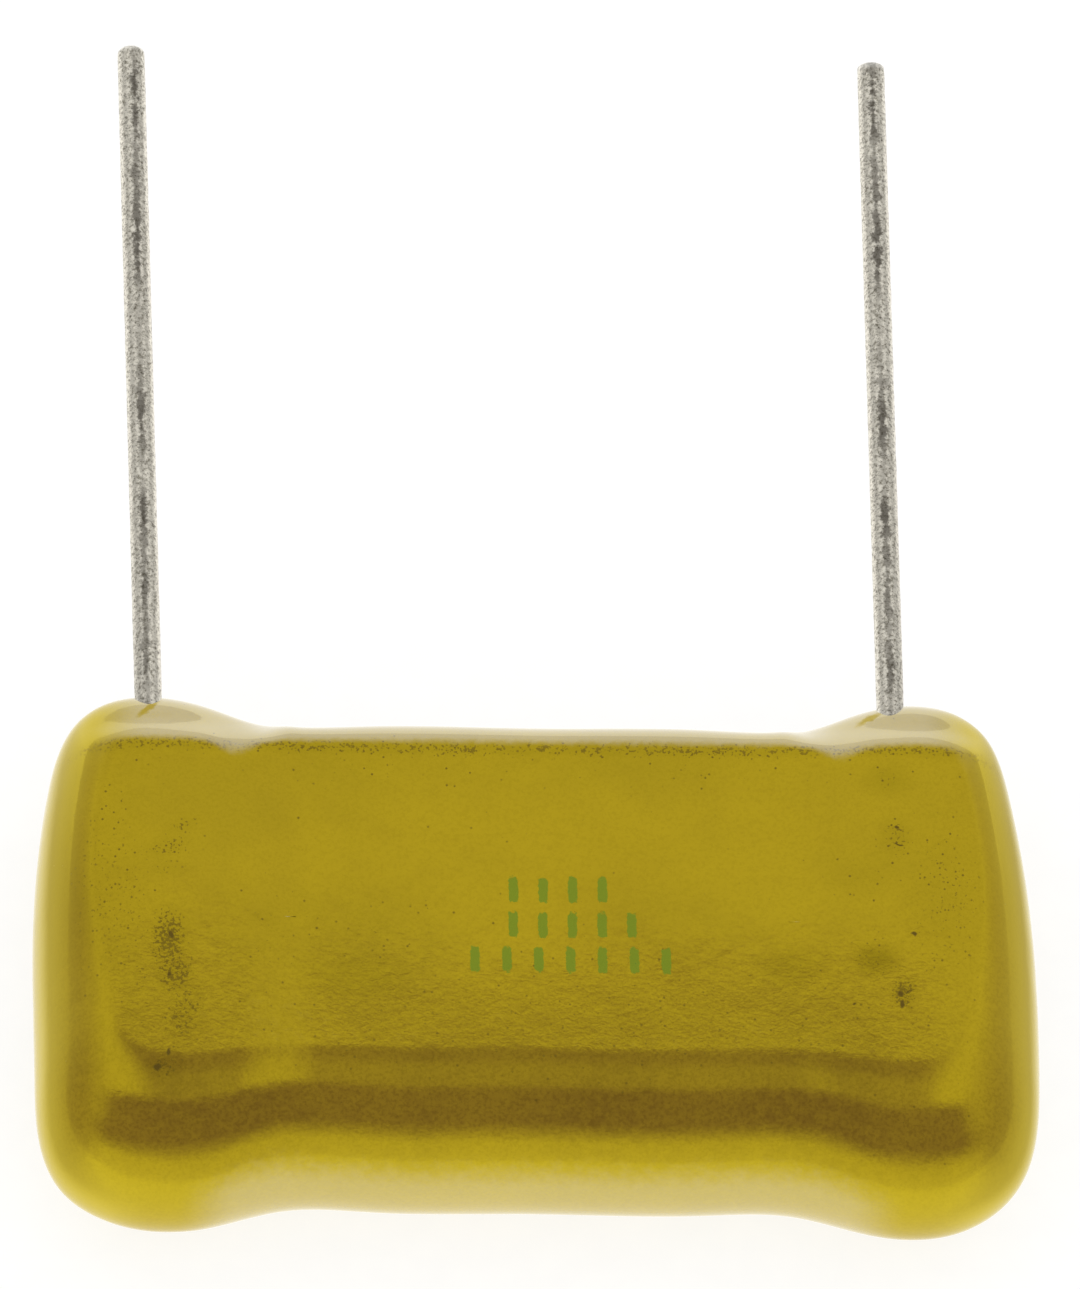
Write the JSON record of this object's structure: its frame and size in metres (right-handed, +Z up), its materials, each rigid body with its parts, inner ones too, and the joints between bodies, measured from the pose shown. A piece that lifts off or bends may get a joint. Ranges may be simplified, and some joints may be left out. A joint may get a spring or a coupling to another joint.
{
  "type": "mica capacitor",
  "caption": "Flat dipped mica capacitor with a glossy ochre resin coat, swollen over its end clamps, and two straight parallel wire leads along one long edge.",
  "frame": {"origin": "on the flat underside, midway between the two leads and at mid height of the coat's waist", "axes": "+X from the left lead to the right lead, +Y from the body out along both leads, +Z up out of the broad face"},
  "size_m": [0.0368, 0.0475, 0.0084],
  "materials": {
    "coating": "glossy dipped epoxy, ochre with a little brown dirt in its pits",
    "tinned_wire": "dull hot-tinned wire with a grainy skin",
    "clamp_strap": "plain tinned brass strip",
    "foil": "soft bright foil",
    "mica": "smooth cleaved mica, silvered on its faces"
  },
  "bodies": {
    "root": {"cover_mica_bottom": "mica", "cover_mica_top": "mica", "dipped_coating": "coating", "foil_01": "foil", "foil_02": "foil", "foil_03": "foil", "foil_04": "foil", "foil_05": "foil", "foil_06": "foil", "foil_07": "foil", "foil_08": "foil", "foil_09": "foil", "foil_10": "foil", "left_clamp": "clamp_strap", "left_lead": "tinned_wire", "mica_blade_01": "mica", "mica_blade_02": "mica", "mica_blade_03": "mica", "mica_blade_04": "mica", "mica_blade_05": "mica", "mica_blade_06": "mica", "mica_blade_07": "mica", "mica_blade_08": "mica", "mica_blade_09": "mica", "right_clamp": "clamp_strap", "right_lead": "tinned_wire"}
  },
  "joints": []
}
